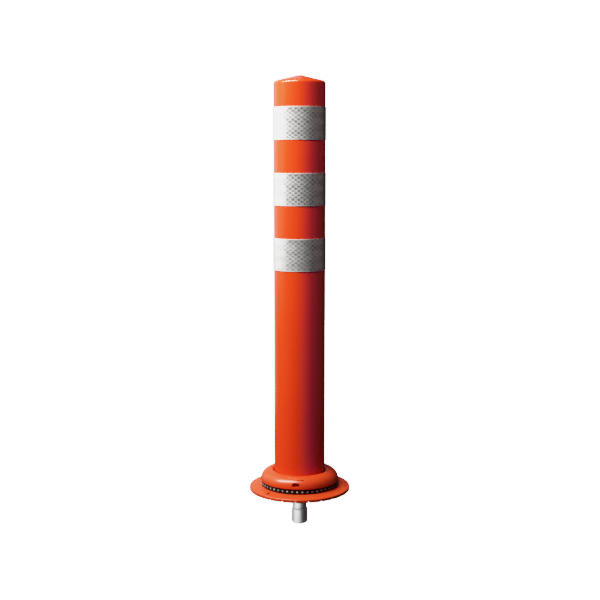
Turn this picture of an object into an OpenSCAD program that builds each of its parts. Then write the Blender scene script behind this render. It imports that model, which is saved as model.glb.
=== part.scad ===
// Lane separator post: a flexible orange post with three reflective bands, clamped
// to a round base plate by a screwed lock ring, on one steel anchor leg.
// The origin is the centre of the plate's underside, at road level, with +Z up.
// The front is -Y. An azimuth is counted from the front towards +X.

/* [Post] */
// Outer diameter of the post
post_d = 80; // [70:1:110]
// Height of the cap's tip above the road
total_h = 650; // [450:5:1000]
// Wall of the tube
post_wall = 4; // [2.5:0.5:6]
// Fall of the cap from its centre to its edge, in degrees
cap_slope = 14; // [6:1:20]
// Radius of the cap's shoulder
cap_round = 5; // [2:0.5:9]
// Thickness of the cap
cap_t = 5; // [3:0.5:9]
// Diameter of the flat gate mark at the centre of the cap
gate_d = 12; // [6:1:20]
// Height of the gate mark
gate_h = 0.5; // [0.2:0.1:1]
// How far the foot flange stands out from the post's side
foot_w = 10; // [6:0.5:16]
// Thickness of the foot flange
foot_t = 5; // [3:0.5:9]

/* [Reflective sheets] */
// Height of each sheet
sheet_h = 50; // [30:1:60]
// Bare post between two sheets
sheet_gap = 50; // [20:1:60]
// Distance from the cap's tip to the top sheet
sheet_top = 48; // [30:1:80]
// Thickness of the sheet
sheet_t = 0.6; // [0.3:0.1:1]
// Length of the lap where the sheet's two ends meet
sheet_lap = 10; // [6:1:20]
// Adhesive between the sheet and the post
sheet_glue = 0.05; // [0.02:0.01:0.2]

/* [Lock ring] */
// Wall of the ring outside its thread
ring_wall = 9.8; // [8.5:0.1:14]
// Thickness of the ring's crown above the post's foot
crown_t = 8; // [6:0.5:12]
// Radius of the outer round of the crown
crown_round = 15.5; // [6:0.5:18]
// Radius of the round at the ring's mouth
mouth_round = 3; // [1:0.5:4]
// Gap between the ring's mouth and the post
mouth_gap = 1.2; // [0.6:0.1:2]
// Radius of the round on the ring's bottom edge
ring_edge = 1.5; // [0.3:0.1:2]
// Number of spanner slots
slot_count = 4; // [3:1:6]
// Width of a spanner slot round the ring
slot_w = 11.5; // [9:0.5:14]
// Height of a spanner slot
slot_h = 6.5; // [5:0.5:7]
// Height of the slots' centre line above the ring's bottom edge
slot_up = 7.2; // [5:0.1:9]
// Wall left between a slot and the thread
slot_floor = 2.2; // [1.5:0.1:4]
// Azimuth of the first slot
slot_turn = -6; // [-45:1:45]
// Number of index grooves on the crown
index_count = 3; // [2:1:4]
// Length of an index groove round the crown
index_length = 12; // [6:1:16]
// Width of an index groove
index_w = 2; // [1:0.2:3]
// Depth of an index groove
index_depth = 1.2; // [0.4:0.1:1.4]
// Place of the index grooves on the crown's round, in degrees above its side
index_tilt = 50; // [40:1:65]
// Azimuth of the first index groove
index_turn = 1; // [-60:1:60]

/* [Bead ring] */
// Height of the bead ring
bead_ring_h = 7.4; // [6.5:0.1:10]
// How far the bead ring's face lies inside the lock ring's side
bead_ring_inset = 1; // [0.5:0.1:2.5]
// Number of glass beads
bead_count = 48; // [24:1:52]
// Diameter of a glass bead
bead_d = 4; // [3.2:0.1:5.4]
// Depth of the beads' centres behind the ring's face
bead_sink = 1.2; // [1:0.1:1.5]
// Gap between a bead and its socket
bead_gap = 0.1; // [0.05:0.01:0.2]
// Azimuth of the first bead
bead_turn = -3.3; // [-7:0.1:7]

/* [Base plate] */
// Width of the plate outside the lock ring
plate_w = 18; // [12:1:40]
// Height of the plate's edge
rim_h = 5.2; // [4:0.1:8]
// Rise of the plate's top from its edge to the bead ring
plate_rise = 1.9; // [1:0.1:4]
// Radius of the round on the plate's top edge
rim_round = 1.8; // [0.5:0.1:2.5]
// Number of drain grooves under the rim
groove_count = 24; // [8:1:36]
// Width of a drain groove
groove_w = 2.5; // [1.5:0.1:4]
// Height of a drain groove
groove_h = 1.8; // [1:0.1:2.5]
// Length of a drain groove from the rim inwards
groove_length = 20; // [8:1:30]
// Azimuth of the first drain groove
groove_turn = -4.9; // [-7.5:0.1:7.5]
// Width of the index notch on the rim
notch_w = 1.6; // [1:0.1:3]
// Length of the index notch from the rim inwards
notch_length = 4; // [3:0.5:8]
// Depth of the index notch
notch_depth = 1.2; // [0.5:0.1:2]
// Azimuth of the index notch
notch_turn = -45; // [-90:1:90]
// Length of thread that the lock ring grips
thread_length = 4.2; // [3:0.1:8]
// Width of the boss outside the post's foot
boss_edge = 2; // [1:0.1:4]
// Height of the spigot that centres the post, above the boss
spigot_h = 11; // [10:0.5:20]
// Diameter of the recess for the bolt's head and its socket wrench
recess_d = 42; // [36:1:50]
// Thickness of the plate between the washer and the anchor sleeve
seat_t = 8; // [5:0.5:10]

/* [Bolt and washers] */
// Nominal diameter of the bolt
bolt_d = 16; // [12:1:18]
// Length of the bolt under its head
bolt_length = 55; // [45:5:60]
// Width of the bolt's head across its flats
bolt_af = 24; // [19:1:28]
// Height of the bolt's head
bolt_head_h = 10; // [7:0.5:11]
// Outer diameter of the plain washer
washer_d = 30; // [28:1:34]
// Thickness of the plain washer
washer_t = 3; // [2:0.5:4]
// Outer diameter of the spring washer
spring_d = 26; // [23:0.5:28]
// Thickness of the spring washer, pressed flat
spring_t = 3.5; // [2.5:0.1:4]
// Width of the split in the spring washer
spring_split = 1.5; // [1:0.1:3]

/* [Anchor sleeve] */
// Diameter of the sleeve
sleeve_d = 25; // [24:0.5:32]
// Diameter of the sleeve's neck
neck_d = 22; // [20.5:0.5:23]
// Depth of the sleeve's end below the road
sleeve_h = 56; // [50:1:90]
// Depth of the neck's lower end below the road
neck_h = 31; // [20:1:34]
// Length of the cone between the neck and the sleeve
cone_h = 3; // [2:0.5:5]
// Bevel on the sleeve's lower edge
sleeve_bevel = 1.5; // [0.5:0.1:2.5]
// How far the neck enters the underside of the plate
socket_h = 4; // [2:0.5:6]
// Depth of bore past the bolt's end
bore_spare = 4; // [2:0.5:6]

/* [Clearances] */
// Gap between the lock ring and the bead ring
ring_gap = 0.3; // [0.1:0.1:1]
// Radial gap in the lock ring's thread, and round the bead ring's bore
thread_gap = 0.2; // [0.1:0.05:0.5]
// Radial gap between the spigot and the post's bore
spigot_gap = 0.3; // [0.1:0.1:1]
// Radial gap round the bolt in the plate and in the washers
bolt_gap = 0.5; // [0.2:0.1:1]
// Radial gap round the bolt in the sleeve's thread
tap_gap = 0.1; // [0.05:0.05:0.3]
// Radial gap round the neck in the plate
neck_gap = 0.3; // [0.1:0.1:1]

/* [Hidden] */
$fn = 96;
FRONT = -90;
BACK = 180;
SPHERE_FN = 20;
// How far a cutting shape runs past the face that it opens
past = 1;
// Least straight height between the two rounds of the lock ring's side
straight_side = 0.2;

// Radii, from the post outwards
post_r = post_d / 2;
bore_r = post_r - post_wall;
foot_r = post_r + foot_w;
boss_r = foot_r + boss_edge;
thread_r = boss_r + thread_gap;
ring_r = thread_r + ring_wall;
mouth_r = post_r + mouth_gap;
bead_ring_r = ring_r - bead_ring_inset;
plate_r = ring_r + plate_w;

// Heights, from the road upwards
plate_h = rim_h + plate_rise;
bead_z = plate_h + bead_ring_h / 2;
ring_z = plate_h + bead_ring_h + ring_gap;
boss_z = ring_z + thread_length;
foot_z = boss_z + foot_t;
crown_z = foot_z + crown_t;
floor_z = socket_h + seat_t;
head_z = floor_z + washer_t + spring_t;

// The crown's round, limited by the ring's own height and width
crown_r = min(
    crown_round,
    crown_z - ring_z - ring_edge - straight_side,
    ring_r - mouth_r - mouth_round - ring_edge
);
crown_mid = [ring_r - crown_r, crown_z - crown_r];

// Places its children at an azimuth, with local +X pointing outwards
module at_azimuth(a) {
    rotate([0, 0, FRONT + a]) children();
}

// Repeats its children evenly round the axis
module round_the_axis(count, first) {
    for (i = [0 : count - 1]) at_azimuth(first + i * 360 / count) children();
}

// Rectangle in the plane of a turned outline, from one radius and height to another
module block(r0, z0, r1, z1) {
    translate([r0, z0]) square([r1 - r0, z1 - z0]);
}

// Quarter of a disc, which rounds the corner of an outline. It faces up and out at no turn
module corner(mid, r, turn) {
    translate(mid) rotate(turn) intersection() {
        circle(r);
        square(r);
    }
}

// Solid outline of the post's outside: cap, shoulder, side and foot flange
module post_outside() {
    rise = tan(cap_slope);
    cone_z = total_h - gate_h;
    mid_r = post_r - cap_round;
    mid_z = cone_z - (mid_r - gate_d / 2) * rise - cap_round / cos(cap_slope);
    corner([mid_r, mid_z], cap_round, 0);
    polygon([
        [0, boss_z],
        [post_r, boss_z],
        [post_r, mid_z],
        [mid_r, mid_z],
        [mid_r + cap_round * sin(cap_slope), mid_z + cap_round * cos(cap_slope)],
        [gate_d / 2, cone_z],
        [gate_d / 2, total_h],
        [0, total_h]
    ]);
    block(0, boss_z, foot_r, foot_z);
}

// The tube is moulded in one piece with its cap and its foot flange
module post() {
    inner_z = total_h - gate_h - cap_t / cos(cap_slope);
    color("orangered")
    rotate_extrude() difference() {
        post_outside();
        polygon([
            [0, boss_z - past],
            [bore_r, boss_z - past],
            [bore_r, inner_z - (bore_r - gate_d / 2) * tan(cap_slope)],
            [gate_d / 2, inner_z],
            [0, inner_z]
        ]);
    }
}

// Sector of a flat ring, between two radii and two angles that lie close together
module sector(inner_r, outer_r, from, to) {
    intersection() {
        difference() {
            circle(outer_r);
            circle(inner_r);
        }
        polygon([[0, 0], for (a = [from, to]) 2 * outer_r * [cos(a), sin(a)]]);
    }
}

// One sheet, numbered from the top down. It goes once round the post, and its end laps over
// its start at the back, with a narrow slit under the step
module reflective_sheet(i) {
    inner_r = post_r + sheet_glue;
    outer_r = inner_r + sheet_t;
    lap = sheet_lap / post_r * 180 / PI;
    step = sheet_t / post_r * 180 / PI;
    color("whitesmoke")
    translate([0, 0, total_h - sheet_top - (i + 1) * sheet_h - i * sheet_gap])
    at_azimuth(BACK)
    linear_extrude(sheet_h) difference() {
        union() {
            difference() {
                circle(outer_r);
                circle(inner_r);
            }
            sector(inner_r, outer_r + sheet_t, -2 * step, lap);
        }
        sector(inner_r - sheet_t, outer_r, -step, 0);
    }
}

// Outline of the lock ring: crown above the foot, wall outside the thread
module ring_outline() {
    mouth_mid = [mouth_r + mouth_round, crown_z - mouth_round];
    edge_mid = [ring_r - ring_edge, ring_z + ring_edge];
    difference() {
        union() {
            corner(crown_mid, crown_r, 0);
            corner(mouth_mid, mouth_round, 90);
            corner(edge_mid, ring_edge, -90);
            block(mouth_mid[0], foot_z, crown_mid[0], crown_z);
            block(mouth_r, foot_z, mouth_mid[0], mouth_mid[1]);
            block(crown_mid[0], edge_mid[1], ring_r, crown_mid[1]);
            block(crown_mid[0], ring_z, edge_mid[0], edge_mid[1]);
            block(mouth_r, ring_z, crown_mid[0], mouth_mid[1]);
        }
        block(0, ring_z - past, thread_r, foot_z);
    }
}

// Slot with round ends, along local +X, for the nose of a hook spanner
module spanner_slot() {
    reach = ring_r - thread_r - slot_floor + past;
    half = (slot_w - slot_h) / 2;
    translate([thread_r + slot_floor, 0, ring_z + slot_up]) rotate([0, 90, 0]) {
        for (side = [-half, half]) translate([0, side, 0]) cylinder(d = slot_h, h = reach);
        translate([-slot_h / 2, -half, 0]) cube([slot_h, 2 * half, reach]);
    }
}

// Shallow groove that follows the crown's round
module index_groove() {
    mark_r = crown_mid[0] + crown_r * cos(index_tilt);
    angle = index_length / mark_r * 180 / PI;
    rotate([0, 0, -angle / 2])
    rotate_extrude(angle = angle)
    translate(crown_mid) rotate(index_tilt)
    translate([crown_r - index_depth, -index_w / 2]) square([index_depth + past, index_w]);
}

module lock_ring() {
    color("orangered")
    difference() {
        rotate_extrude() ring_outline();
        round_the_axis(slot_count, slot_turn) spanner_slot();
        round_the_axis(index_count, index_turn) index_groove();
    }
}

// Balls on the bead ring's own pitch, for the beads and for their sockets
module bead_balls(d) {
    round_the_axis(bead_count, bead_turn)
    translate([bead_ring_r - bead_sink, 0, bead_z]) sphere(d = d, $fn = SPHERE_FN);
}

module bead_ring() {
    color("black")
    difference() {
        rotate_extrude() block(thread_r, plate_h, bead_ring_r, plate_h + bead_ring_h);
        bead_balls(bead_d + 2 * bead_gap);
    }
}

module glass_beads() {
    color("silver") bead_balls(bead_d);
}

// Outline of the plate with its boss and spigot
module plate_outline() {
    edge_z = rim_h - rim_round;
    polygon([
        [0, 0],
        [plate_r, 0],
        [plate_r, edge_z],
        [plate_r - rim_round, rim_h],
        [ring_r, plate_h],
        [0, plate_h]
    ]);
    corner([plate_r - rim_round, edge_z], rim_round, 0);
    block(0, plate_h, boss_r, boss_z);
    block(0, boss_z, bore_r - spigot_gap, boss_z + spigot_h);
}

module base_plate() {
    color("orangered")
    difference() {
        rotate_extrude() plate_outline();
        translate([0, 0, floor_z]) cylinder(d = recess_d, h = boss_z + spigot_h);
        translate([0, 0, -past]) cylinder(d = bolt_d + 2 * bolt_gap, h = floor_z + 2 * past);
        translate([0, 0, -past]) cylinder(d = neck_d + 2 * neck_gap, h = socket_h + past);
        round_the_axis(groove_count, groove_turn)
            translate([plate_r - groove_length, -groove_w / 2, -past])
            cube([groove_length + past, groove_w, groove_h + past]);
        at_azimuth(notch_turn)
            translate([plate_r - notch_length, -notch_w / 2, rim_h - notch_depth])
            cube([notch_length + past, notch_w, plate_h]);
    }
}

// Hexagon head with its corners turned off, on a plain shank with a pointed end
module anchor_bolt() {
    corner_r = bolt_af / sqrt(3);
    tip = bolt_d / 8;
    color("silver") {
        translate([0, 0, head_z]) intersection() {
            cylinder(r = corner_r, h = bolt_head_h, $fn = 6);
            rotate_extrude() polygon([
                [0, 0],
                [corner_r + past, 0],
                [corner_r + past, bolt_head_h - (corner_r + past - bolt_af / 2) * tan(30)],
                [bolt_af / 2, bolt_head_h],
                [0, bolt_head_h]
            ]);
        }
        rotate_extrude() polygon([
            [0, head_z],
            [bolt_d / 2, head_z],
            [bolt_d / 2, head_z - bolt_length + tip],
            [bolt_d / 2 - tip, head_z - bolt_length],
            [0, head_z - bolt_length]
        ]);
    }
}

module spring_washer() {
    inner_r = bolt_d / 2 + bolt_gap;
    color("silver")
    translate([0, 0, floor_z + washer_t]) difference() {
        rotate_extrude() block(inner_r, 0, spring_d / 2, spring_t);
        translate([0, -spring_split / 2, -past]) cube([spring_d, spring_split, spring_t + 2 * past]);
    }
}

module plain_washer() {
    color("silver")
    rotate_extrude() block(bolt_d / 2 + bolt_gap, floor_z, washer_d / 2, floor_z + washer_t);
}

// Turned sleeve with a thinner neck, bored from the top for the bolt's thread
module anchor_sleeve() {
    tap_r = bolt_d / 2 + tap_gap;
    bore_z = head_z - bolt_length - bore_spare;
    color("gainsboro")
    rotate_extrude() polygon([
        [tap_r, socket_h],
        [neck_d / 2, socket_h],
        [neck_d / 2, -neck_h],
        [sleeve_d / 2, -neck_h - cone_h],
        [sleeve_d / 2, sleeve_bevel - sleeve_h],
        [sleeve_d / 2 - sleeve_bevel, -sleeve_h],
        [0, -sleeve_h],
        [0, bore_z],
        [tap_r, bore_z]
    ]);
}

post();
reflective_sheet(0);  // reflective_sheet_top
reflective_sheet(1);  // reflective_sheet_middle
reflective_sheet(2);  // reflective_sheet_bottom
lock_ring();
bead_ring();
glass_beads();
base_plate();
anchor_bolt();
spring_washer();
plain_washer();
anchor_sleeve();
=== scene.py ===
# %% [markdown]
# Lane separator post
#
# This lesson dresses a road post that the CAD model has already made to size: an orange
# urethane tube with three reflective bands, a screwed lock ring, a black ring of glass beads
# and a round base plate on one steel leg. The CAD model is the frame. Blender only gives it
# finer surfaces, real finishes, a camera and light, and never moves or resizes a piece.

# %% The frame
import math

import bmesh
import bpy
from mathutils import Matrix, Vector


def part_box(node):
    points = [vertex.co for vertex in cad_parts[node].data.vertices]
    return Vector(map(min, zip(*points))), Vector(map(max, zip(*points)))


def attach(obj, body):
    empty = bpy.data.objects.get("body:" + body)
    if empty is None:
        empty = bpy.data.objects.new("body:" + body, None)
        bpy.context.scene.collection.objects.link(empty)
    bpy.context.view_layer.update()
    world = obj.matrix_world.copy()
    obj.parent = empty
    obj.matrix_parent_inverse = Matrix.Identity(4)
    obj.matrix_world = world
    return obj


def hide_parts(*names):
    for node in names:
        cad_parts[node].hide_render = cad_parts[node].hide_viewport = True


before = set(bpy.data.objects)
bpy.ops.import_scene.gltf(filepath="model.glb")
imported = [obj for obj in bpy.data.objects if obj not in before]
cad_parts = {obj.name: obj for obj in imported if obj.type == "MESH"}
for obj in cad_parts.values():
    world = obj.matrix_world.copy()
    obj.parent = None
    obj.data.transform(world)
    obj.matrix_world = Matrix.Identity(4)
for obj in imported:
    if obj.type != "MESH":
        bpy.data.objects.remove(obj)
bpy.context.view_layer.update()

# %% [markdown]
# Sizes
#
# Lengths are written in millimetres, as on a drawing, and turned to metres where a mesh is
# made. The outer radius and the height of each piece come from the frame, so that a new piece
# fills the same box as its CAD solid. Only what no box can tell, such as a wall or a slope, is
# written here. An azimuth is counted from the front, which is -Y, towards +X.

# %% Lengths from the frame
MM = 0.001
CM = 0.01


def size_of(node):
    """Outer radius, lowest and highest point of a CAD node, in millimetres."""
    low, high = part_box(node)
    return round(high.x / MM, 2), round(low.z / MM, 2), round(high.z / MM, 2)


plate_r, road_z, spigot_z = size_of("base_plate")
bead_ring_r, plate_h, bead_ring_top = size_of("bead_ring")
ring_r, ring_z, crown_z = size_of("lock_ring")
foot_r, boss_z, post_top = size_of("post")
sleeve_r, sleeve_z, socket_z = size_of("anchor_sleeve")
print("plate", plate_r, spigot_z, "bead ring", bead_ring_r, plate_h, bead_ring_top)
print("lock ring", ring_r, ring_z, crown_z, "post", foot_r, boss_z, post_top)
print("sleeve", sleeve_r, sleeve_z, socket_z)

# %% [markdown]
# The camera
#
# The camera stands 1.7 metres away at four fifths of the post's height and looks down by seven
# degrees, so the sides of the post run almost parallel. These values come from fitting a
# pinhole to the bands, the lock ring and the plate in the photograph. The frame is square and
# 600 pixels wide, so a focal length in pixels turns into a lens by the width of the sensor.

# %% Camera
PHOTO_WIDTH = 600
FOCAL_PIXELS = 1070
SENSOR_WIDTH = 36.0
CAMERA_AT = (0.0006, -1.6667, 0.5169)
CAMERA_TILT = 7.29

camera_data = bpy.data.cameras.new("photo_camera")
camera_data.sensor_width = SENSOR_WIDTH
camera_data.lens = SENSOR_WIDTH * FOCAL_PIXELS / PHOTO_WIDTH
camera = bpy.data.objects.new("photo_camera", camera_data)
camera.location = CAMERA_AT
camera.rotation_euler = (math.radians(90 - CAMERA_TILT), 0, 0)
bpy.context.scene.collection.objects.link(camera)
bpy.context.scene.camera = camera
print("lens in mm:", round(camera_data.lens, 2))

# %% [markdown]
# The tone curve
#
# The photograph looks strongly contrasted. Across the tube its red stays almost level over the
# lit half and then drops quickly, and the orange turns to maroon on the way. One S-shaped curve
# over red, green and blue gives most of that. The shadows go down and the bright end rolls off
# below white, so that only a glint or the backdrop gets to white.

# %% Tone curve
PURE_WHITE = 1.15
GLINT_FROM = 0.85
SHOULDER = 0.89
KNEE = 0.24
CONTRAST = 1.47
CURVE_POINTS = 16
ALL_COLOURS = 3
GREY_CARD = 0.18


def tone(light):
    """How bright the picture is, from 0 to 1, where this much light reaches the camera."""
    body = SHOULDER * (1 - math.exp(-((light / KNEE) ** CONTRAST)))
    glint = max(0.0, (light - GLINT_FROM) / (PURE_WHITE - GLINT_FROM))
    return body + (1 - SHOULDER) * glint


view = bpy.context.scene.view_settings
view.view_transform = "Standard"
view.use_curve_mapping = True
view.curve_mapping.white_level = (PURE_WHITE, PURE_WHITE, PURE_WHITE)
curve = view.curve_mapping.curves[ALL_COLOURS]
for i in range(1, CURVE_POINTS):
    share = (i / CURVE_POINTS) ** 2
    curve.points.new(share, tone(share * PURE_WHITE))
view.curve_mapping.update()
print("tone of a grey card:", round(tone(GREY_CARD), 3))

# %% [markdown]
# Small helpers for nodes and colours
#
# A colour is picked as an sRGB hex value, but Blender mixes light in linear values, so one
# function turns the one into the other. Another adds a node to a tree, with its settings, its
# sockets' values and its links. The rest are short names for the nodes that come back often,
# and keep each material short enough to read. A mix node has its sockets for numbers and for
# colours side by side, so they are picked by their place.

# %% Helpers for nodes
NUMBER_A, NUMBER_B, MIXED_NUMBER = 2, 3, 0
COLOUR_A, COLOUR_B, MIXED_COLOUR = 6, 7, 2


def linear(hex_colour):
    """An sRGB hex value such as "E8541A" as linear red, green, blue and alpha."""
    shares = [int(hex_colour[i : i + 2], 16) / 255 for i in (0, 2, 4)]
    return [s / 12.92 if s <= 0.04045 else ((s + 0.055) / 1.055) ** 2.4 for s in shares] + [1.0]


def add(tree, kind, values=None, links=None, **settings):
    """Adds a node with its settings, the values of its sockets, and what is linked to them."""
    node = tree.nodes.new(kind)
    for name, value in settings.items():
        setattr(node, name, value)
    for socket, value in (values or {}).items():
        node.inputs[socket].default_value = value
    for socket, source in (links or {}).items():
        tree.links.new(source, node.inputs[socket])
    return node


def calculate(tree, operation, *terms):
    """The result of a math node on floats and sockets, given in the order of its inputs."""
    values = {i: term for i, term in enumerate(terms) if isinstance(term, float)}
    links = {i: term for i, term in enumerate(terms) if i not in values}
    return add(tree, "ShaderNodeMath", values, links, operation=operation).outputs[0]


def between(tree, share, low, high):
    """A number that goes from low to high as the share goes from 0 to 1."""
    ends = {"To Min": low, "To Max": high}
    return add(tree, "ShaderNodeMapRange", ends, {"Value": share}).outputs[0]


def two_tones(tree, share, hex_low, hex_high):
    """A colour that goes from the first to the second as the share goes from 0 to 1."""
    ends = {COLOUR_A: linear(hex_low), COLOUR_B: linear(hex_high)}
    return add(tree, "ShaderNodeMix", ends, {0: share}, data_type="RGBA").outputs[MIXED_COLOUR]


def noise(tree, place, width, detail):
    """Soft noise on coordinates in metres, with features this many millimetres wide."""
    values = {"Scale": 1 / (width * MM), "Detail": detail}
    return add(tree, "ShaderNodeTexNoise", values, {"Vector": place}).outputs["Fac"]


def new_material(name):
    """An empty material and its node tree."""
    material = bpy.data.materials.new(name)
    material.use_nodes = True
    material.node_tree.nodes.clear()
    return material, material.node_tree


def finish_material(material, shader):
    """Links a shader to a new output of the material."""
    tree = material.node_tree
    add(tree, "ShaderNodeOutputMaterial", links={"Surface": shader.outputs[0]})
    print(f"{material.name}: {len(tree.nodes)} nodes")


# %% [markdown]
# Studio light
#
# The photograph is a catalogue picture: white all round, with the left side in full light and
# the right side falling away to a deep maroon. The edge of the light leans to the left further
# down, so the key is a long narrow softbox, high on the left and rolled over. Dimmer panels
# at the left side and behind the left shoulder brighten the grazing edge, a weak one in front
# fills the shadow, a slightly pink one lifts the right side, and one behind keeps the back
# readable without a glint on the cap. The world is white only to the camera and nearly black
# to the object. A fit of the panels and the tone curve to the colours across the tube gave the
# first strengths, and trial renders the final ones. What a few pieces need on top of that is
# added next to them later on, by cards that light linking keeps off everything else.

# %% Lights
POST_MIDDLE = Vector((0, 0, 0.33))


def panel(name, azimuth, distance, height, width, length, watts, roll=0, target=POST_MIDDLE):
    """A rectangular soft light that faces a target, and may roll about its own axis."""
    data = bpy.data.lights.new(name, "AREA")
    data.shape = "RECTANGLE"
    data.size, data.size_y = width, length
    data.energy = watts
    light = bpy.data.objects.new(name, data)
    angle = math.radians(azimuth)
    light.location = (distance * math.sin(angle), -distance * math.cos(angle), height)
    towards = (target - light.location).to_track_quat("-Z", "Y")
    turned_by = Matrix.Rotation(math.radians(roll), 4, "Z").to_quaternion()
    light.rotation_euler = (towards @ turned_by).to_euler()
    light.visible_camera = False
    bpy.context.scene.collection.objects.link(light)
    return light


key = panel("key_softbox", -57, 0.85, 1.35, 0.25, 1.25, 19.5, roll=-48)
shoulder = panel("shoulder_panel", -148, 1.2, 0.57, 1.4, 1.5, 1.2)
side = panel("side_panel", -105, 1.5, 1.0, 2.2, 1.8, 4.5)
fill = panel("fill_panel", 22, 2.0, -0.4, 2.5, 1.2, 0.35)
far_side = panel("far_side_panel", 95, 1.5, 0.4, 1.6, 1.2, 0.5)
far_side.data.color = (1.0, 0.72, 0.7)
back = panel("back_panel", 180, 2.2, 0.4, 1.4, 1.2, 14)
back.visible_glossy = False
panels = (key, shoulder, side, fill, far_side, back)
print("panels:", ", ".join(light.name for light in panels))

# %% World
DIM_WORLD = 0.025

world = bpy.data.worlds.new("studio")
world.use_nodes = True
tree = world.node_tree
tree.nodes.clear()
to_camera = add(tree, "ShaderNodeLightPath")
white = add(tree, "ShaderNodeBackground", {"Color": (1, 1, 1, 1), "Strength": PURE_WHITE})
dim = add(tree, "ShaderNodeBackground", {"Color": linear("EEEAF4"), "Strength": DIM_WORLD})
both = add(
    tree,
    "ShaderNodeMixShader",
    links={0: to_camera.outputs["Is Camera Ray"], 1: dim.outputs[0], 2: white.outputs[0]},
)
add(tree, "ShaderNodeOutputWorld", links={"Surface": both.outputs[0]})
bpy.context.scene.world = world
print("the world's strength for the object:", DIM_WORLD)

# %% [markdown]
# The floor
#
# The picture has no ground at all. A white floor under the leg's end stands in for the paper
# of a studio, lit from behind like a light table: it is as white as the backdrop and shows no
# shadow. It is see-through from below, so that the underside can be looked at, and it throws
# no light on the object.

# %% Floor
FLOOR_HALF = 30.0

paper, tree = new_material("matt_white_paper")
paper_side = add(tree, "ShaderNodeNewGeometry")
matt = add(tree, "ShaderNodeBsdfDiffuse", {"Color": linear("B9B9B9")})
glow = add(tree, "ShaderNodeEmission", {"Color": linear("FFFFFF"), "Strength": PURE_WHITE})
lit = add(tree, "ShaderNodeAddShader", links={0: matt.outputs[0], 1: glow.outputs[0]})
clear = add(tree, "ShaderNodeBsdfTransparent")
one_sided = add(
    tree,
    "ShaderNodeMixShader",
    links={0: paper_side.outputs["Backfacing"], 1: lit.outputs[0], 2: clear.outputs[0]},
)
finish_material(paper, one_sided)

floor_mesh = bpy.data.meshes.new("floor")
floor_z = sleeve_z * MM
floor_corners = [(-1, -1), (1, -1), (1, 1), (-1, 1)]
floor_mesh.from_pydata(
    [(x * FLOOR_HALF, y * FLOOR_HALF, floor_z) for x, y in floor_corners], [], [(0, 1, 2, 3)]
)
floor_mesh.materials.append(paper)
floor = bpy.data.objects.new("floor", floor_mesh)
floor.visible_diffuse = False
floor.visible_glossy = False
bpy.context.scene.collection.objects.link(floor)
print("floor at", floor_z)

# %% [markdown]
# Turned shapes
#
# Almost every piece of this object is round, so it can be drawn as half a section and turned
# round the axis. A section is a short list of corners, each with a radius and a height, and
# the size of its round. Moulded and turned parts have no knife edges, so a plain corner that
# shows gets a few tenths of a millimetre, which is what catches the light.

# %% Sections with rounded corners
ARC_STEP = math.radians(9)
FEWEST_ARC_STEPS = 3


def section(corners):
    """Outline in (radius, height) from corners (radius, height, round), as a closed loop."""
    points = []
    for i, (r, z, rounding) in enumerate(corners):
        here = Vector((r, z))
        if not rounding:
            points.append(here)
            continue
        before = (Vector(corners[i - 1][:2]) - here).normalized()
        after = (Vector(corners[(i + 1) % len(corners)][:2]) - here).normalized()
        half = before.angle(after) / 2
        middle = here + (before + after).normalized() * rounding / math.sin(half)
        start = here + before * rounding / math.tan(half) - middle
        sweep = start.angle_signed(here + after * rounding / math.tan(half) - middle)
        steps = max(FEWEST_ARC_STEPS, math.ceil(abs(sweep) / ARC_STEP))
        for step in range(steps + 1):
            arm = start.copy()
            arm.rotate(Matrix.Rotation(-sweep * step / steps, 2))
            points.append(middle + arm)
    return points


# %% Turning a section round the axis
ROUND_STEPS = 160
SHARP_ANGLE = math.radians(32)
ON_AXIS = 1e-6


def new_piece(name, bm, material):
    """A finished object at the origin from a bmesh, smooth apart from its sharp edges."""
    bmesh.ops.recalc_face_normals(bm, faces=bm.faces)
    mesh = bpy.data.meshes.new(name)
    bm.to_mesh(mesh)
    bm.free()
    mesh.shade_smooth()
    mesh.set_sharp_from_angle(angle=SHARP_ANGLE)
    if material:
        mesh.materials.append(material)
    piece = bpy.data.objects.new(name, mesh)
    bpy.context.scene.collection.objects.link(piece)
    return piece


def turned(name, outline, material=None, turn=360.0, steps=ROUND_STEPS):
    """Turns a closed outline in mm round the axis, all the way or by an angle about the front."""
    bm = bmesh.new()
    full = turn >= 360.0
    count = steps if full else steps + 1
    rings = []
    for r, z in outline:
        spots = []
        for i in range(1 if r < ON_AXIS else count):
            angle = math.radians(turn * (i / steps - 0.5))
            x, y = r * math.sin(angle), -r * math.cos(angle)
            spots.append(bm.verts.new((x * MM, y * MM, z * MM)))
        rings.append(spots)
    for a, b in zip(rings, rings[1:] + rings[:1]):
        for i in range(steps):
            j = (i + 1) % count
            ring_face = [a[i % len(a)], a[j % len(a)], b[j % len(b)], b[i % len(b)]]
            ring_face = list(dict.fromkeys(ring_face))
            if len(ring_face) > 2:
                bm.faces.new(ring_face)
    if not full:
        bm.faces.new([ring[0] for ring in rings])
        bm.faces.new([ring[-1] for ring in rings])
    return new_piece(name, bm, material)


# %% [markdown]
# Repeating and cutting
#
# Slots, grooves, sockets and beads all stand round the axis at even steps. One small Geometry
# Nodes tree repeats whatever mesh it is given, and ends in Realize Instances and Set Material,
# because an exported model can't hold instances. What is to be cut away is repeated in the
# same way and taken off with an exact Boolean, as a milling cutter or a mould insert would.

# %% The tree that repeats a mesh round the axis
round_tree = bpy.data.node_groups.new("round_the_axis", "GeometryNodeTree")
sockets = {}
for label, kind in [
    ("Geometry", "NodeSocketGeometry"),
    ("Count", "NodeSocketInt"),
    ("First azimuth", "NodeSocketFloat"),
    ("Material", "NodeSocketMaterial"),
]:
    sockets[label] = round_tree.interface.new_socket(label, in_out="INPUT", socket_type=kind)
round_tree.interface.new_socket("Geometry", in_out="OUTPUT", socket_type="NodeSocketGeometry")

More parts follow.
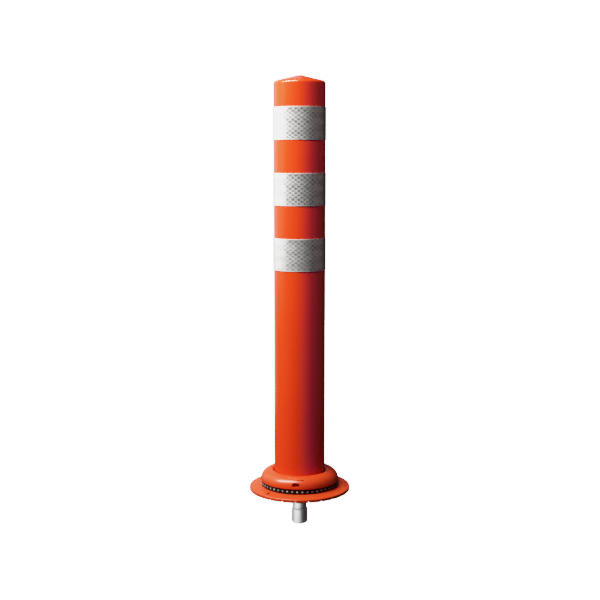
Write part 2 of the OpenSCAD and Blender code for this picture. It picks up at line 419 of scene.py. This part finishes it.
given = add(round_tree, "NodeGroupInput")
index = add(round_tree, "GeometryNodeInputIndex")
share = calculate(round_tree, "DIVIDE", index.outputs[0], given.outputs["Count"])
in_degrees = calculate(round_tree, "MULTIPLY_ADD", share, 360.0, given.outputs["First azimuth"])
in_radians = calculate(round_tree, "RADIANS", in_degrees)
about_z = add(round_tree, "ShaderNodeCombineXYZ", links={"Z": in_radians})
turn_by = add(round_tree, "FunctionNodeEulerToRotation", links={0: about_z.outputs[0]})
points = add(round_tree, "GeometryNodePoints", links={"Count": given.outputs["Count"]})
copies = add(
    round_tree,
    "GeometryNodeInstanceOnPoints",
    links={
        "Points": points.outputs[0],
        "Instance": given.outputs["Geometry"],
        "Rotation": turn_by.outputs[0],
    },
)
real = add(round_tree, "GeometryNodeRealizeInstances", links={0: copies.outputs[0]})
coated = add(
    round_tree,
    "GeometryNodeSetMaterial",
    links={"Geometry": real.outputs[0], "Material": given.outputs["Material"]},
)
add(round_tree, "NodeGroupOutput", links={0: coated.outputs[0]})
print(f"{round_tree.name}: {len(round_tree.nodes)} nodes")


# %% Using the tree, and cutting with what it makes
def settle(piece):
    """Turns a piece with its modifiers into a plain mesh without any."""
    bpy.context.view_layer.update()
    depsgraph = bpy.context.evaluated_depsgraph_get()
    mesh = bpy.data.meshes.new_from_object(piece.evaluated_get(depsgraph), depsgraph=depsgraph)
    mesh.name = piece.name
    piece.modifiers.clear()
    piece.data = mesh
    return piece


def repeated(piece, count, first, material):
    """Repeats a mesh that stands at the front evenly round the axis."""
    modifier = piece.modifiers.new("round_the_axis", "NODES")
    modifier.node_group = round_tree
    for label, value in [("Count", count), ("First azimuth", float(first)), ("Material", material)]:
        modifier[sockets[label].identifier] = value
    return settle(piece)


def cut(piece, cutter):
    """Takes the cutter's volume off the piece, and throws the cutter away."""
    modifier = piece.modifiers.new("cut", "BOOLEAN")
    modifier.operation = "DIFFERENCE"
    modifier.solver = "EXACT"
    modifier.object = cutter
    settle(piece)
    bpy.data.objects.remove(cutter)
    piece.data.shade_smooth()
    piece.data.set_sharp_from_angle(angle=SHARP_ANGLE)


def report_mesh(piece):
    """Prints a piece's triangles and its open edges, of which a closed piece has none."""
    bm = bmesh.new()
    bm.from_mesh(piece.data)
    open_edges = sum(1 for edge in bm.edges if not edge.is_manifold)
    triangles = sum(len(face.verts) - 2 for face in bm.faces)
    volume = bm.calc_volume(signed=True) / CM**3
    bm.free()
    print(f"{piece.name}: {triangles} triangles, {open_edges} open edges, {volume:.2f} cubic cm")


def put_in_place(piece, node):
    """The piece stands for its CAD node, which it hides, rides on the one body, and is reported."""
    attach(piece, "root")
    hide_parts(node)
    report_mesh(piece)


# %% [markdown]
# Glossy moulded urethane
#
# The tube looks like pigmented polyurethane from a polished tool. What the eye gets is a
# saturated orange with a clear, slightly soft gloss that turns white only at grazing angles. A
# flat colour would look like paint, so the tone drifts a little over hand-wide areas, and a
# faint swell in the surface keeps reflections from being ruler-straight.

# %% Urethane finish
DRIFT_WIDTH = 90
POLISH_WIDTH = 35


def urethane(name, hex_main, hex_deep, roughness, rough_spread, swell, grain):
    """Pigmented polyurethane. Swell and grain are (width, depth) of the surface in mm."""
    material, tree = new_material(name)
    place = add(tree, "ShaderNodeTexCoord").outputs["Object"]
    drift = noise(tree, place, DRIFT_WIDTH, detail=2.0)
    colour = two_tones(tree, drift, hex_deep, hex_main)
    polish = noise(tree, place, POLISH_WIDTH, detail=4.0)
    rough = between(tree, polish, roughness - rough_spread, roughness + rough_spread)
    below = {}
    for width, depth in (swell, grain):
        height = noise(tree, place, width, detail=1.0)
        size = {"Strength": 1.0, "Distance": depth * MM}
        bump = add(tree, "ShaderNodeBump", size, {"Height": height, **below})
        below = {"Normal": bump.outputs[0]}
    shader = add(
        tree,
        "ShaderNodeBsdfPrincipled",
        {"IOR": 1.5},
        {"Base Color": colour, "Roughness": rough, **below},
    )
    finish_material(material, shader)
    return material


glossy_urethane = urethane(
    "glossy_moulded_urethane", "E55229", "DF4B25", 0.23, 0.03, swell=(45, 0.02), grain=(3, 0.002)
)

# %% [markdown]
# The post
#
# One moulding: a tube of 4 mm wall, closed by a shallow cone with a round shoulder, and with
# a flange at its foot that the lock ring grips. On top is the flat mark left by the mould's
# gate. Its section is turned in one go, inside and outside together.

# %% Post
post_r = 40.0
post_wall = 4.0
cap_angle = math.radians(14)
cap_slope = math.tan(cap_angle)
cap_wall = 5.0
cap_round = 5.0
gate_r, gate_height, gate_round = 6.0, 0.5, 0.45
foot_height = 5.0
foot_z = boss_z + foot_height
bore_r = post_r - post_wall
cone_z = post_top - gate_height
inner_z = cone_z - cap_wall / math.cos(cap_angle)

post_section = section([
    (bore_r, boss_z, 0.3),
    (foot_r, boss_z, 0.5),
    (foot_r, foot_z, 0.5),
    (post_r, foot_z, 0.5),
    (post_r, cone_z - (post_r - gate_r) * cap_slope, cap_round),
    (gate_r, cone_z, 0),
    (gate_r, post_top, gate_round),
    (0, post_top, 0),
    (0, inner_z, 0),
    (gate_r, inner_z, 0),
    (bore_r, inner_z - (bore_r - gate_r) * cap_slope, 2.0),
])
post = turned("post_tube", post_section, glossy_urethane)
put_in_place(post, "post")

# %% [markdown]
# Cards for the tube alone
#
# Where the tube turns from the light, the photograph's orange goes over to crimson, while the
# grey sheets beside it stay neutral. So it is hardly a coloured light in the room, and more
# likely the way the picture was developed. Three cards that only the tube can see give much
# the same turn: a violet one at the right of the middle, a crimson one at the right edge, and
# a blue one behind the left shoulder that turns the grazing edge pink.


# %% Light linking, and the tube's cards
def only_for(light, pieces):
    """Light linking: the light reaches these pieces and nothing else."""
    group = bpy.data.collections.new(light.name + "_reaches")
    for piece in pieces:
        group.objects.link(piece)
    light.light_linking.receiver_collection = group
    print(light.name, "reaches only", ", ".join(piece.name for piece in pieces))


violet_card = panel("violet_card", 45, 1.5, 0.2, 2.1, 2.2, 3.4, roll=-30)
violet_card.data.color = (0.04, 0.0, 1.0)
only_for(violet_card, [post])
crimson_card = panel("crimson_card", 118, 1.5, 0.9, 1.2, 0.8, 0.7)
crimson_card.data.color = (1.0, 0.0, 0.2)
only_for(crimson_card, [post])
grazing_card = panel("grazing_card", -158, 1.2, 0.57, 0.9, 1.5, 0.8)
grazing_card.data.color = (0.0, 0.35, 1.0)
only_for(grazing_card, [post])

# %% [markdown]
# Prismatic reflective sheet
#
# Road sheeting is a clear film over tiny prisms, welded to a white back along a fine net. The
# net scatters light and stays pale. The cells between it partly work as mirrors: bright where
# they see the light, and dark grey where they see the dark side of the room. That is why the
# net shows best in the middle of each band. The pattern follows the sheet, so it is drawn on a
# UV map in millimetres, with the sizes counted in the photograph. Real prisms are far smaller
# than a cell, so each cell stands for many.

# %% The net and the welded edge
NET_WIDTH = 8.9
NET_HEIGHT = 6.6
NET_LINE = 0.09
NET_BLUR_IN, NET_BLUR_OUT = 0.05, 0.04
EDGE_LINE = 0.9
EDGE_BLUR = 0.2

_, sheet_low, sheet_high = size_of("reflective_sheet_top")
sheet_height = sheet_high - sheet_low
print("sheet height in mm:", round(sheet_height, 2))

prismatic_sheet, tree = new_material("prismatic_reflective_sheet")
along_and_up = add(tree, "ShaderNodeUVMap", uv_map="sheet_mm")
uv = add(tree, "ShaderNodeSeparateXYZ", links={0: along_and_up.outputs[0]})
across = calculate(tree, "MULTIPLY", uv.outputs["X"], 1 / NET_WIDTH)
upwards = calculate(tree, "MULTIPLY", uv.outputs["Y"], 1 / NET_HEIGHT)
diagonals = []
cells = []
for operation in ("ADD", "SUBTRACT"):
    slant = calculate(tree, operation, across, upwards)
    diagonals.append(calculate(tree, "PINGPONG", slant, 0.5))
    cells.append(calculate(tree, "FLOOR", slant))
net = add(
    tree,
    "ShaderNodeMapRange",
    {
        "From Min": NET_LINE - NET_BLUR_IN,
        "From Max": NET_LINE + NET_BLUR_OUT,
        "To Min": 1.0,
        "To Max": 0.0,
    },
    {"Value": calculate(tree, "MINIMUM", *diagonals)},
    interpolation_type="SMOOTHSTEP",
)
from_middle = calculate(tree, "SUBTRACT", uv.outputs["Y"], sheet_height / 2)
edge_from = sheet_height / 2 - EDGE_LINE
welded_edge = add(
    tree,
    "ShaderNodeMapRange",
    {"From Min": edge_from - EDGE_BLUR, "From Max": edge_from},
    {"Value": calculate(tree, "ABSOLUTE", from_middle)},
)
pale = calculate(tree, "MAXIMUM", net.outputs[0], welded_edge.outputs[0])

# %% [markdown]
# Lean and rows
#
# Each cell leans a little its own way, and the weld stands up a little. The cells also come in
# rows of about nine millimetres. Every other row mirrors more strongly and more sharply than
# the rows beside it, and is a little paler.

# %% Lean of the prisms
CELL_LEAN = 0.05
WELD_HEIGHT = 0.05
WELD_STRENGTH = 0.5

cell_id = add(tree, "ShaderNodeCombineXYZ", links={0: cells[0], 1: cells[1]})
chance = add(
    tree, "ShaderNodeTexWhiteNoise", links={"Vector": cell_id.outputs[0]}, noise_dimensions="3D"
)
chances = add(tree, "ShaderNodeSeparateColor", links={0: chance.outputs["Color"]})
lean = calculate(tree, "MULTIPLY_ADD", chances.outputs[0], CELL_LEAN, -CELL_LEAN / 2)
along_sheet = add(tree, "ShaderNodeTangent", direction_type="UV_MAP", uv_map="sheet_mm")
lean_vector = add(
    tree,
    "ShaderNodeVectorMath",
    links={0: along_sheet.outputs[0], "Scale": lean},
    operation="SCALE",
)
surface = add(tree, "ShaderNodeNewGeometry")
prism_face = add(
    tree,
    "ShaderNodeVectorMath",
    links={0: surface.outputs["Normal"], 1: lean_vector.outputs[0]},
    operation="ADD",
)
weld_bump = add(
    tree,
    "ShaderNodeBump",
    {"Strength": WELD_STRENGTH, "Distance": WELD_HEIGHT * MM},
    {"Height": net.outputs[0], "Normal": prism_face.outputs[0]},
)

# %% Sharp and soft rows
ROW_HEIGHT = 9.2
ROW_START = -2.0
SOFT_ROW_TONE = 0.84

row_count = calculate(tree, "MULTIPLY_ADD", from_middle, 1 / ROW_HEIGHT, -ROW_START / ROW_HEIGHT)
soft_row = calculate(tree, "PINGPONG", calculate(tree, "FLOOR", row_count), 1.0)
row_tone = between(tree, soft_row, 1.0, SOFT_ROW_TONE)
print("rows on a sheet:", round(sheet_height / ROW_HEIGHT, 1))

# %% [markdown]
# Tones of the sheet
#
# The tones and the shares below were set by comparing renders with the photograph. Even so, the
# net's contrast is about half of the photograph's in a quick render, and from a sixth less to a
# quarter more in a full one.

# %% Colours of the cells and the net
cell_tone = two_tones(tree, chances.outputs[1], "BDBBB7", "D0CECA")
row_colour = add(
    tree, "ShaderNodeVectorMath", links={0: cell_tone, "Scale": row_tone}, operation="SCALE"
)
sheet_colour = add(
    tree,
    "ShaderNodeMix",
    {COLOUR_B: linear("D0CECC")},
    {0: pale, COLOUR_A: row_colour.outputs[0]},
    data_type="RGBA",
)


# %% The sheet's shader
def by_place(sharp, soft, on_net):
    """A number for the cells of sharp rows, for those of soft rows, and for the net."""
    row = between(tree, soft_row, sharp, soft)
    mix = add(tree, "ShaderNodeMix", {NUMBER_B: on_net}, {0: pale, NUMBER_A: row})
    return mix.outputs[MIXED_NUMBER]


sheet_shader = add(
    tree,
    "ShaderNodeBsdfPrincipled",
    {"IOR": 1.5, "Coat Weight": 0.5, "Coat Roughness": 0.12},
    {
        "Base Color": sheet_colour.outputs[MIXED_COLOUR],
        "Metallic": by_place(0.66, 0.54, 0.15),
        "Roughness": by_place(0.28, 0.36, 0.5),
        "Normal": weld_bump.outputs[0],
    },
)
finish_material(prismatic_sheet, sheet_shader)

# %% [markdown]
# The three bands
#
# Each band is one strip of sheet, wound round the tube and lapped over its own start at the
# back. A plain ring would hide that joint, so the strip is built as what it is: a long, thin
# box with broken edges that stays at one radius and steps up over its own start at the lap.

# %% Reflective sheets
SHEET_GLUE = 0.05
SHEET_THICKNESS = 0.6
SHEET_LAP = 10.0
LAP_RAMP = 3.0
LAP_GAP = 0.02
SHEET_EDGE = 0.12
STRIP_STEPS = 220


def sheet_strip(name, low_z, high_z):
    """One strip round the post, with its UV map in millimetres along and up the sheet."""
    inner_r = post_r + SHEET_GLUE
    once_round = 2 * math.pi * inner_r
    whole = once_round + SHEET_LAP
    stations = [whole * i / STRIP_STEPS for i in range(STRIP_STEPS + 1)]
    profile = [
        (0, low_z + SHEET_EDGE),
        (SHEET_EDGE, low_z),
        (SHEET_THICKNESS - SHEET_EDGE, low_z),
        (SHEET_THICKNESS, low_z + SHEET_EDGE),
        (SHEET_THICKNESS, high_z - SHEET_EDGE),
        (SHEET_THICKNESS - SHEET_EDGE, high_z),
        (SHEET_EDGE, high_z),
        (0, high_z - SHEET_EDGE),
    ]
    bm = bmesh.new()
    uv_layer = bm.loops.layers.uv.new("sheet_mm")
    rings = []
    for along in stations:
        past_start = min(max((along - once_round + LAP_RAMP) / LAP_RAMP, 0.0), 1.0)
        lift = (SHEET_THICKNESS + LAP_GAP) * past_start**2 * (3 - 2 * past_start)
        angle = along / inner_r + math.pi
        direction = Vector((math.sin(angle), -math.cos(angle), 0))
        ring = []
        for out, z in profile:
            spot = direction * (inner_r + lift + out) + Vector((0, 0, z))
            ring.append(bm.verts.new(spot * MM))
        rings.append(ring)
    for i, (a, b) in enumerate(zip(rings, rings[1:])):
        for j in range(len(profile)):
            k = (j + 1) % len(profile)
            face = bm.faces.new([a[j], b[j], b[k], a[k]])
            for loop, (station, height) in zip(face.loops, [(i, j), (i + 1, j), (i + 1, k), (i, k)]):
                loop[uv_layer].uv = (stations[station], profile[height][1] - low_z)
    bm.faces.new(rings[0])
    bm.faces.new(rings[-1])
    return new_piece(name, bm, prismatic_sheet)


strips = []
for place in ("top", "middle", "bottom"):
    node = f"reflective_sheet_{place}"
    _, low_z, high_z = size_of(node)
    strips.append(sheet_strip(f"reflective_strip_{place}", low_z, high_z))
    put_in_place(strips[-1], node)

# %% [markdown]
# A card for the sheets alone
#
# The left third of each band is almost white in the photograph, more than the panels make it.
# Prisms don't mirror like a plain surface, which may be why. A wide card at the left that only
# the sheets can see makes up for it.

# %% The sheets' card
sheet_card = panel("sheet_card", -101, 1.5, 0.58, 2.4, 0.8, 4.9)
only_for(sheet_card, strips)

# %% [markdown]
# Satin moulded urethane
#
# The lock ring and the base plate look like the same stuff from a tool with a dull face. They
# are satin and not glossy: the highlight on the ring's shoulder is broad, and a fine grain
# breaks it up. The grain of such a tool is a few hundredths of a millimetre, which no render
# at this size can show, so it is drawn more than ten times coarser.

# %% Satin urethane
satin_urethane = urethane(
    "satin_moulded_urethane", "D6552E", "CE4E29", 0.33, 0.04, swell=(30, 0.02), grain=(0.9, 0.003)
)

# %% [markdown]
# The lock ring
#
# The ring screws onto the base and presses on the post's foot. Its crown is one big round
# that ends in a small one at the mouth. Four slots take the nose of a hook spanner. Three
# short grooves lie on the crown, perhaps to show how far the ring has been turned.

# %% Lock ring section and slots
thread_r = 52.2
mouth_gap = 1.2
mouth_r = post_r + mouth_gap
mouth_round = 3.0
crown_round = 15.5
SLOT_COUNT, SLOT_FIRST = 4, -6
SLOT_ARC_STEPS = 16
slot_width, slot_height, slot_up = 11.5, 6.5, 7.2
slot_floor_r = thread_r + 2.2
slot_over = 3

lock_ring = turned("lock_ring_moulding", section([
    (thread_r, ring_z, 0.3),
    (ring_r, ring_z, 1.5),
    (ring_r, crown_z, crown_round),
    (mouth_r, crown_z, mouth_round),
    (mouth_r, foot_z, 0.3),
    (thread_r, foot_z, 0.3),
]), satin_urethane)


def slot_cutter(name, width, height, middle_z, from_r, to_r):
    """A bar with round sides that points out at the front, to cut one slot."""
    radius, half = height / 2, (width - height) / 2
    around = []
    for side_x, first in ((half, -90), (-half, 90)):
        for step in range(SLOT_ARC_STEPS + 1):
            angle = math.radians(first + step * 180 / SLOT_ARC_STEPS)
            around.append((side_x + radius * math.cos(angle), middle_z + radius * math.sin(angle)))
    bm = bmesh.new()
    near = [bm.verts.new((x * MM, -from_r * MM, z * MM)) for x, z in around]
    far = [bm.verts.new((x * MM, -to_r * MM, z * MM)) for x, z in around]
    bm.faces.new(near)
    bm.faces.new(far)
    for i in range(len(around)):
        j = (i + 1) % len(around)
        bm.faces.new([near[i], near[j], far[j], far[i]])
    return new_piece(name, bm, None)


slot_z = ring_z + slot_up
slots = slot_cutter("slots", slot_width, slot_height, slot_z, slot_floor_r, ring_r + slot_over)
cut(lock_ring, repeated(slots, SLOT_COUNT, SLOT_FIRST, satin_urethane))

# %% Index grooves on the crown
GROOVE_COUNT, GROOVE_FIRST = 3, 1
GROOVE_STEPS = 12
groove_tilt = math.radians(50)
groove_width, groove_depth, groove_length = 2.0, 1.2, 12.0
groove_over = 2

crown_middle = Vector((ring_r - crown_round, crown_z - crown_round))
outwards = Vector((math.cos(groove_tilt), math.sin(groove_tilt)))
half_width = Vector((-outwards.y, outwards.x)) * groove_width / 2
bottom = crown_middle + outwards * (crown_round - groove_depth)
over = crown_middle + outwards * (crown_round + groove_over)
groove_r = crown_middle.x + crown_round * outwards.x
grooves = turned(
    "index_grooves",
    [bottom - half_width, over - half_width, over + half_width, bottom + half_width],
    turn=math.degrees(groove_length / groove_r),
    steps=GROOVE_STEPS,
)
cut(lock_ring, repeated(grooves, GROOVE_COUNT, GROOVE_FIRST, satin_urethane))
put_in_place(lock_ring, "lock_ring")

# %% [markdown]
# The bead ring and its beads
#
# Between the lock ring and the plate sits a black rubber ring with 48 round sockets, and in
# each a silvered glass bead that sends headlights back. A bead is a ball pushed in past its
# middle, so only its front shows. It is made to look pale grey from everywhere and to mirror
# the plate below it only a little, as the beads in the photograph do.

# %% Rubber and silvered glass
black_rubber, tree = new_material("moulded_black_rubber")
place = add(tree, "ShaderNodeTexCoord").outputs["Object"]
rubber_colour = two_tones(tree, noise(tree, place, 12, detail=3.0), "161414", "221F1F")
skin = noise(tree, place, 0.8, detail=2.0)
skin_bump = add(tree, "ShaderNodeBump", {"Distance": 0.02 * MM}, {"Height": skin})
rubber_shader = add(
    tree,
    "ShaderNodeBsdfPrincipled",
    {"IOR": 1.52, "Roughness": 0.55},
    {"Base Color": rubber_colour, "Normal": skin_bump.outputs[0]},
)
finish_material(black_rubber, rubber_shader)

silvered_glass, tree = new_material("silvered_glass")
place = add(tree, "ShaderNodeTexCoord").outputs["Object"]
bead_share = noise(tree, place, 9, detail=1.0)
bead_shader = add(
    tree,
    "ShaderNodeBsdfPrincipled",
    {"IOR": 1.5, "Metallic": 0.35},
    {
        "Base Color": two_tones(tree, bead_share, "7C7C80", "BEBDBA"),
        "Roughness": between(tree, bead_share, 0.35, 0.55),
    },
)
finish_material(silvered_glass, bead_shader)

# %% Bead ring and beads
BEAD_COUNT, BEAD_FIRST = 48, -3.3
BALL_STEPS_ROUND, BALL_STEPS_DOWN = 20, 12
bead_r = 2.0
socket_r = bead_r + 0.1
bead_circle = bead_ring_r - 1.2
bead_z = (plate_h + bead_ring_top) / 2


def ball(name, radius):
    """A closed ball on the beads' circle, at the front."""
    bm = bmesh.new()
    bmesh.ops.create_uvsphere(
        bm,
        u_segments=BALL_STEPS_ROUND,
        v_segments=BALL_STEPS_DOWN,
        radius=radius * MM,
        matrix=Matrix.Translation((0, -bead_circle * MM, bead_z * MM)),
    )
    return new_piece(name, bm, None)


bead_ring = turned("bead_ring_moulding", section([
    (thread_r, plate_h, 0.3),
    (bead_ring_r, plate_h, 0.4),
    (bead_ring_r, bead_ring_top, 0.4),
    (thread_r, bead_ring_top, 0.3),
]), black_rubber, steps=4 * BEAD_COUNT)
cut(bead_ring, repeated(ball("sockets", socket_r), BEAD_COUNT, BEAD_FIRST, black_rubber))
put_in_place(bead_ring, "bead_ring")
beads = repeated(ball("glass_bead_row", bead_r), BEAD_COUNT, BEAD_FIRST, silvered_glass)
put_in_place(beads, "glass_beads")

# %% [markdown]
# The base plate
#
# A round plate that lies on the road. Its top rises gently to the bead ring, its rim has a
# soft round, and 24 grooves under the rim let water out. Above it stands the boss that the
# ring screws onto, with a recess for the bolt. One short notch in the top may mark a
# direction. The CAD model has it smaller and at the rim, but the photograph shows it further
# in, so it is drawn there.

# %% Base plate
RIM_HEIGHT = 5.2
RIM_ROUND = 1.8
plate_fall = (plate_h - RIM_HEIGHT) / (plate_r - RIM_ROUND - ring_r)
boss_r = thread_r - 0.2
spigot_r = bore_r - 0.3
recess_r = 21.0
recess_z = 12.0
bolt_hole_r = 8.5
neck_hole_r = 11.3

base_plate = turned("base_plate_moulding", section([
    (neck_hole_r, road_z, 0.3),
    (plate_r, road_z, 0.4),
    (plate_r, RIM_HEIGHT - RIM_ROUND * plate_fall, RIM_ROUND),
    (ring_r, plate_h, 0),
    (boss_r, plate_h, 0),
    (boss_r, boss_z, 0.4),
    (spigot_r, boss_z, 0),
    (spigot_r, spigot_z, 0.8),
    (recess_r, spigot_z, 0.5),
    (recess_r, recess_z, 0),
    (bolt_hole_r, recess_z, 0),
    (bolt_hole_r, socket_z, 0),
    (neck_hole_r, socket_z, 0),
]), satin_urethane)

# %% Drain grooves and the notch
DRAIN_COUNT, DRAIN_FIRST = 24, -4.9
NOTCH_AZIMUTH = -44
drain_length, drain_width, drain_height = 20, 2.5, 1.8
notch_outer, notch_length, notch_width, notch_depth = 6, 8, 3.2, 3.9
drain_over = 2
bar_over = 1


def bar(name, from_r, to_r, width, low_z, high_z):
    """A square bar that points out at the front, to cut a groove or a notch."""
    bm = bmesh.new()
    bmesh.ops.create_cube(bm, size=1.0)
    stretch = Matrix.Diagonal((width * MM, (to_r - from_r) * MM, (high_z - low_z) * MM, 1))
    middle = Vector((0, -(from_r + to_r) / 2, (low_z + high_z) / 2)) * MM
    bmesh.ops.transform(bm, matrix=Matrix.Translation(middle) @ stretch, verts=bm.verts)
    return new_piece(name, bm, None)


drains = bar(
    "drains",
    plate_r - drain_length,
    plate_r + drain_over,
    drain_width,
    road_z - bar_over,
    road_z + drain_height,
)
cut(base_plate, repeated(drains, DRAIN_COUNT, DRAIN_FIRST, satin_urethane))
notch = bar(
    "notch",
    plate_r - notch_outer - notch_length,
    plate_r - notch_outer,
    notch_width,
    plate_h - notch_depth,
    plate_h + bar_over,
)
cut(base_plate, repeated(notch, 1, NOTCH_AZIMUTH, satin_urethane))
put_in_place(base_plate, "base_plate")

# %% [markdown]
# Steel pieces
#
# The leg looks like a sleeve turned from bar and zinc plated. Turning leaves fine rings that
# stretch every highlight into a soft vertical band. A real ring is a tenth of a millimetre
# wide, so these are drawn about ten times coarser to show at all. The bolt and its washers are
# hidden in the base, and get the same plating in a duller tone. The plate shades its own leg,
# so a small card in front at the left lights the sleeve alone.

# %% Zinc-plated steel
RING_STRETCH = (0.05, 0.05, 1.0)
CLOUD_WIDTH = 7


def zinc_steel(name, hex_light, hex_dark, ring_width):
    """Zinc-plated steel with turning rings of a width in mm."""
    material, tree = new_material(name)
    place = add(tree, "ShaderNodeTexCoord").outputs["Object"]
    flat = add(tree, "ShaderNodeMapping", {"Scale": RING_STRETCH}, {"Vector": place})
    rings = noise(tree, flat.outputs[0], ring_width, detail=3.0)
    clouds = noise(tree, place, CLOUD_WIDTH, detail=4.0)
    bump = add(tree, "ShaderNodeBump", {"Distance": 0.02 * MM}, {"Height": rings})
    shader = add(
        tree,
        "ShaderNodeBsdfPrincipled",
        {"Metallic": 1.0},
        {
            "Base Color": two_tones(tree, clouds, hex_dark, hex_light),
            "Roughness": between(tree, clouds, 0.54, 0.66),
            "Normal": bump.outputs[0],
        },
    )
    finish_material(material, shader)
    return material


turned_zinc = zinc_steel("turned_zinc_plated_steel", "DCDEDD", "C4C8CA", 1.2)
bolt_zinc = zinc_steel("zinc_plated_bolt_steel", "C4C2B6", "9E9C92", 2.5)

# %% Anchor sleeve and its card
SLEEVE_STEPS = 96
LEG_MIDDLE = Vector((0, 0, sleeve_z / 2 * MM))
tap_r = 8.1
neck_r = 11.0
neck_z = -31.0
cone_height = 3.0
cone_round = 5.0
end_bevel = 1.5
bore_end_z = -40.5

sleeve = turned("anchor_sleeve_turning", section([
    (tap_r, socket_z, 0.3),
    (neck_r, socket_z, 0.3),
    (neck_r, neck_z, cone_round),
    (sleeve_r, neck_z - cone_height, cone_round),
    (sleeve_r, sleeve_z + end_bevel, 0.2),
    (sleeve_r - end_bevel, sleeve_z, 0.2),
    (0, sleeve_z, 0),
    (0, bore_end_z, 0),
    (tap_r, bore_end_z, 0),
]), turned_zinc, steps=SLEEVE_STEPS)
put_in_place(sleeve, "anchor_sleeve")
leg_card = panel("leg_card", -38, 0.3, -0.09, 0.6, 0.18, 0.5, target=LEG_MIDDLE)
only_for(leg_card, [sleeve])

# %% Bolt and washers
for name in ("anchor_bolt", "spring_washer", "plain_washer"):
    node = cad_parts[name]
    node.data.materials.clear()
    node.data.materials.append(bolt_zinc)
    print(name, "keeps its CAD shape and gets", bolt_zinc.name)
